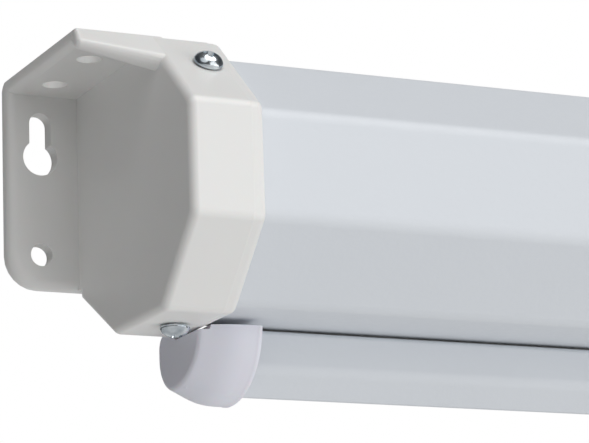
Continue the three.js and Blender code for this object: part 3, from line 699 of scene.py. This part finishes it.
# The rise over run of the end cap's lower back slope.
CHAMFER_SLOPE = (BACK_FOLD_HEIGHT - CAP_BOTTOM) / (BACK_FOLD_DEPTH - TAB_THICKNESS)


def arc(centre, radii, start, end, steps):
    """Points of an ellipse's arc, from one angle to another."""
    turns = [start + (end - start) * step / steps for step in range(steps + 1)]
    return [(centre[0] + radii[0] * math.cos(t), centre[1] + radii[1] * math.sin(t)) for t in turns]


def cap_outline(half, height, inset):
    """A bar cap's section: a long round at the front, a short one at the back and a stepped top."""
    cut = math.asin((BAR_CAP_DROP + inset) / height)
    heel = half - BAR_CAP_KEEL
    back_top = BAR_CAP_BACK_TOP - inset
    top_round = BAR_CAP_TOP_ROUND - inset
    front_radii = (half + BAR_CAP_KEEL, height)
    points = arc((BAR_CAP_KEEL, BAR_CAP_DROP), front_radii, math.pi + cut, 1.5 * math.pi, 30)
    heel_centre = (BAR_CAP_KEEL, BAR_CAP_DROP - height + heel)
    points += arc(heel_centre, (heel, heel), 1.5 * math.pi, 2 * math.pi, 18)[1:]
    shoulder = (half - top_round, back_top - top_round)
    points += arc(shoulder, (top_round, top_round), 0, math.pi / 2, 9)
    step_top = BAR_CAP_STEP + BAR_CAP_BACK_TOP / CHAMFER_SLOPE
    points += [(step_top, back_top), (BAR_CAP_STEP, -inset)]
    return on_bar([(u, v - BAR_CAP_DROP) for u, v in points])


def bar_cap(x):
    rings = []
    for along, half, height in CAP_STATIONS:
        set_down = CAP_SET_DOWN if along < CAP_SET_DOWN_LENGTH else 0
        rings.append(across(cap_outline(half, height, set_down), x + along))
    for along, half, height in CAP_HOLLOW:
        rings.append(across(cap_outline(half, height, CAP_INSIDE_DROP), x + along))
    shell = skin("bar_cap", rings)
    plug = on_bar(rounded(offset_corners(BAR_CORNERS[::-1], BAR_WALL + FIT_GAP, least=0.1), 4))
    plug_solid = skin("plug", [across(plug, x + PLUG_START), across(plug, x + PLUG_END)])
    return clean(combine(shell, [plug_solid], "UNION"))


left_bar_cap = bar_cap(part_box("left_bar_cap")[0].x / MM)
left_bar_cap.name = "left_bar_end"
right_bar_cap = mirrored(left_bar_cap, "right_bar_end", MIDDLE_X)
for cap_piece, side in ((left_bar_cap, "left"), (right_bar_cap, "right")):
    smooth(cap_piece, 38)
    finished(cap_piece, "bottom_bar", "bar_plastic", [f"{side}_bar_cap"])

# ---------------------------------------------------------------- fabric

CLOTH_THICKNESS = 0.3
ROLL_CORE = 11.35
ROLL_OUTSIDE = 15.5
ROLL_TURNS = 11.68
ROLL_STEPS = 44


def hanging_cloth():
    """The fabric between the roll and the bar, with rows close enough to pay out smoothly."""
    low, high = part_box("fabric_drop")
    columns, rows = 60, 96
    middle = (low.y + high.y) / 2 / MM
    vertices, faces = [], []
    for side in (-0.5, 0.5):
        for row in range(rows + 1):
            for column in range(columns + 1):
                x = (low.x + (high.x - low.x) * column / columns) / MM
                z = (high.z + (low.z - high.z) * row / rows) / MM
                wave = 0.04 * math.sin(column * 0.9) * math.sin(math.pi * row / rows)
                vertices.append((x, middle + side * CLOTH_THICKNESS + wave, z))
    stride = columns + 1
    layer = stride * (rows + 1)
    for start in (0, layer):
        for row in range(rows):
            for column in range(columns):
                at = start + row * stride + column
                faces.append((at, at + 1, at + stride + 1, at + stride))
    border = list(range(columns + 1))
    border += [row * stride + columns for row in range(1, rows + 1)]
    border += [rows * stride + column for column in range(columns - 1, -1, -1)]
    border += [row * stride for row in range(rows - 1, 0, -1)]
    for here, there in zip(border, border[1:] + border[:1]):
        faces.append((here, there, there + layer, here + layer))
    return make_object("fabric_hanging", vertices, faces)


def wound_cloth():
    """The wound fabric: one spiral from the roller's tube out to where the fabric leaves."""
    low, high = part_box("fabric_roll")
    axis_y, axis_z = (low.y + high.y) / 2 / MM, (low.z + high.z) / 2 / MM
    inner, outer = ROLL_CORE, ROLL_OUTSIDE - CLOTH_THICKNESS
    total = round(ROLL_TURNS * ROLL_STEPS)
    rings = []
    for step in range(total + 1):
        angle = 2 * math.pi * (step - total) / ROLL_STEPS
        radius = inner + (outer - inner) * step / total
        ring = []
        for x, reach in (
            (low.x, radius),
            (high.x, radius),
            (high.x, radius + CLOTH_THICKNESS),
            (low.x, radius + CLOTH_THICKNESS),
        ):
            y, z = axis_y + reach * math.cos(angle), axis_z - reach * math.sin(angle)
            ring.append((x / MM, y, z))
        rings.append(ring)
    length = math.pi * (inner + outer) * ROLL_TURNS
    return skin("fabric_wound", rings), length


drop = smooth(hanging_cloth(), 40, weighted=False)
drop.data.materials.append(MATERIALS["blind_fabric"])
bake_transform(drop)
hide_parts("fabric_drop")

wound, wound_length = wound_cloth()
smooth(wound, 40, weighted=False)
finished(wound, "roller", "blind_fabric", ["fabric_roll"])

# ---------------------------------------------------------------- CAD nodes that stay

NODE_SLOTS = {
    "black_nylon": [
        "left_arbor_socket", "right_bearing_socket", "spring_end_plug", "idle_end_plug",
        "arbor_bushing", "fabric_spline",
    ],
    "bare_steel": [
        "spring_arbor", "ratchet_wheel", "spring_anchor", "roller_tube", "idle_gudgeon", "pawl_a",
        "pawl_b",
    ],
    "spring_steel": ["torsion_spring"],
    "zinc": ["pawl_pin_a", "pawl_pin_b", "handle_pin", "handle_left_screw", "handle_right_screw"],
    "bar_plastic": ["handle_base", "handle_grip"],
}
EDGE_ROUND = {"handle_base": 0.5, "handle_grip": 0.8, "handle_pin": 0.3}

for slot_name, names in NODE_SLOTS.items():
    for name in names:
        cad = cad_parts[name]
        for slot in cad.material_slots:
            slot.material = MATERIALS[slot_name]
        if name in EDGE_ROUND:
            weld = cad.modifiers.new("weld", "WELD")
            weld.merge_threshold = 0.00001
            edge = cad.modifiers.new("edges", "BEVEL")
            edge.width = EDGE_ROUND[name] * MM
            edge.segments = 3
            edge.limit_method = "ANGLE"
            edge.angle_limit = math.radians(35)
            weighted = cad.modifiers.new("weighted", "WEIGHTED_NORMAL")
            weighted.keep_sharp = False

# ---------------------------------------------------------------- floor, light and camera

FLOOR_Z = -1.2
FLOOR_HALF = 6000
# The world's light on the object. The camera sees a white background instead.
SOFT_STRENGTH = 0.105
# (name, the direction it shines along, strength, spread in degrees)
SUNS = (
    ("overhead", (-0.2, 0.5, -0.85), 1.7, 50),
    ("right_low", (-0.7, 0.6, 0.4), 1.05, 50),
    ("front", (-0.35, 0.93, -0.03), 0.6, 50),
    ("left_high", (0.55, 0.6, -0.58), 0.47, 50),
    ("right_below", (-0.75, 0.2, 0.62), 0.22, 50),
    ("behind", (-0.3, -0.85, -0.4), 0.4, 60),
)
CAMERA_YAW = 25.959
CAMERA_PITCH = 13.363
CAMERA_ROLL = -2.040
CAMERA_LENS = 179.98
CAMERA_PLACE = (-0.24590, -0.64766, -0.16826)


def floor():
    """A pale floor that is see-through from below, where the camera looks up past it."""
    half = FLOOR_HALF
    corners = [(-half, -half), (half, -half), (half, half), (-half, half)]
    plane = make_object("floor", flat(corners, FLOOR_Z / MM), [(0, 1, 2, 3)])
    material, tree, bsdf, place = start_material("floor", Roughness=0.7)
    tone = tinted(tree, noise(tree, place, 3, 3), (0.76, 0.76, 0.76), (0.79, 0.79, 0.785))
    tree.links.new(tone, bsdf.inputs["Base Color"])
    below = tree.nodes.new("ShaderNodeNewGeometry").outputs["Backfacing"]
    clear = tree.nodes.new("ShaderNodeBsdfTransparent")
    both = node(tree, "ShaderNodeMixShader", {0: below, 1: bsdf.outputs[0], 2: clear.outputs[0]})
    tree.links.new(both.outputs[0], tree.nodes["Material Output"].inputs["Surface"])
    plane.data.materials.append(material)
    plane.visible_shadow = False


def sun(name, towards, strength, spread):
    """A very wide, soft light that shines along a direction."""
    light = bpy.data.lights.new(name, "SUN")
    light.energy = strength
    light.angle = math.radians(spread)
    obj = bpy.data.objects.new(name, light)
    obj.rotation_euler = Vector(towards).to_track_quat("-Z", "Y").to_euler()
    bpy.context.scene.collection.objects.link(obj)


def studio():
    world = bpy.data.worlds.new("studio")
    bpy.context.scene.world = world
    world.use_nodes = True
    tree = world.node_tree
    tree.nodes.clear()
    path = tree.nodes.new("ShaderNodeLightPath").outputs["Is Camera Ray"]
    tint = (0.98, 0.99, 1.0, 1)
    soft = node(tree, "ShaderNodeBackground", {"Color": tint, "Strength": SOFT_STRENGTH})
    seen = node(tree, "ShaderNodeBackground", {"Color": (1, 1, 1, 1), "Strength": 1.0})
    mix = node(tree, "ShaderNodeMixShader", {0: path, 1: soft.outputs[0], 2: seen.outputs[0]})
    output = node(tree, "ShaderNodeOutputWorld", {"Surface": mix.outputs[0]})
    output.is_active_output = True
    for light in SUNS:
        sun(*light)
    bpy.context.scene.view_settings.view_transform = "Standard"


def camera():
    yaw, pitch, roll = (math.radians(turn) for turn in (CAMERA_YAW, CAMERA_PITCH, CAMERA_ROLL))
    level = math.cos(pitch)
    ahead = Vector((math.sin(yaw) * level, math.cos(yaw) * level, math.sin(pitch)))
    right = Vector((math.cos(yaw), -math.sin(yaw), 0))
    up = right.cross(ahead)
    rolled_right = math.cos(roll) * right + math.sin(roll) * up
    rolled_up = math.cos(roll) * up - math.sin(roll) * right
    data = bpy.data.cameras.new("camera")
    data.lens = CAMERA_LENS
    data.sensor_width = 36
    data.clip_end = 30
    obj = bpy.data.objects.new("camera", data)
    obj.matrix_world = Matrix((rolled_right, rolled_up, -ahead)).transposed().to_4x4()
    obj.matrix_world.translation = Vector(CAMERA_PLACE)
    bpy.context.scene.collection.objects.link(obj)
    bpy.context.scene.camera = obj


floor()
studio()
camera()
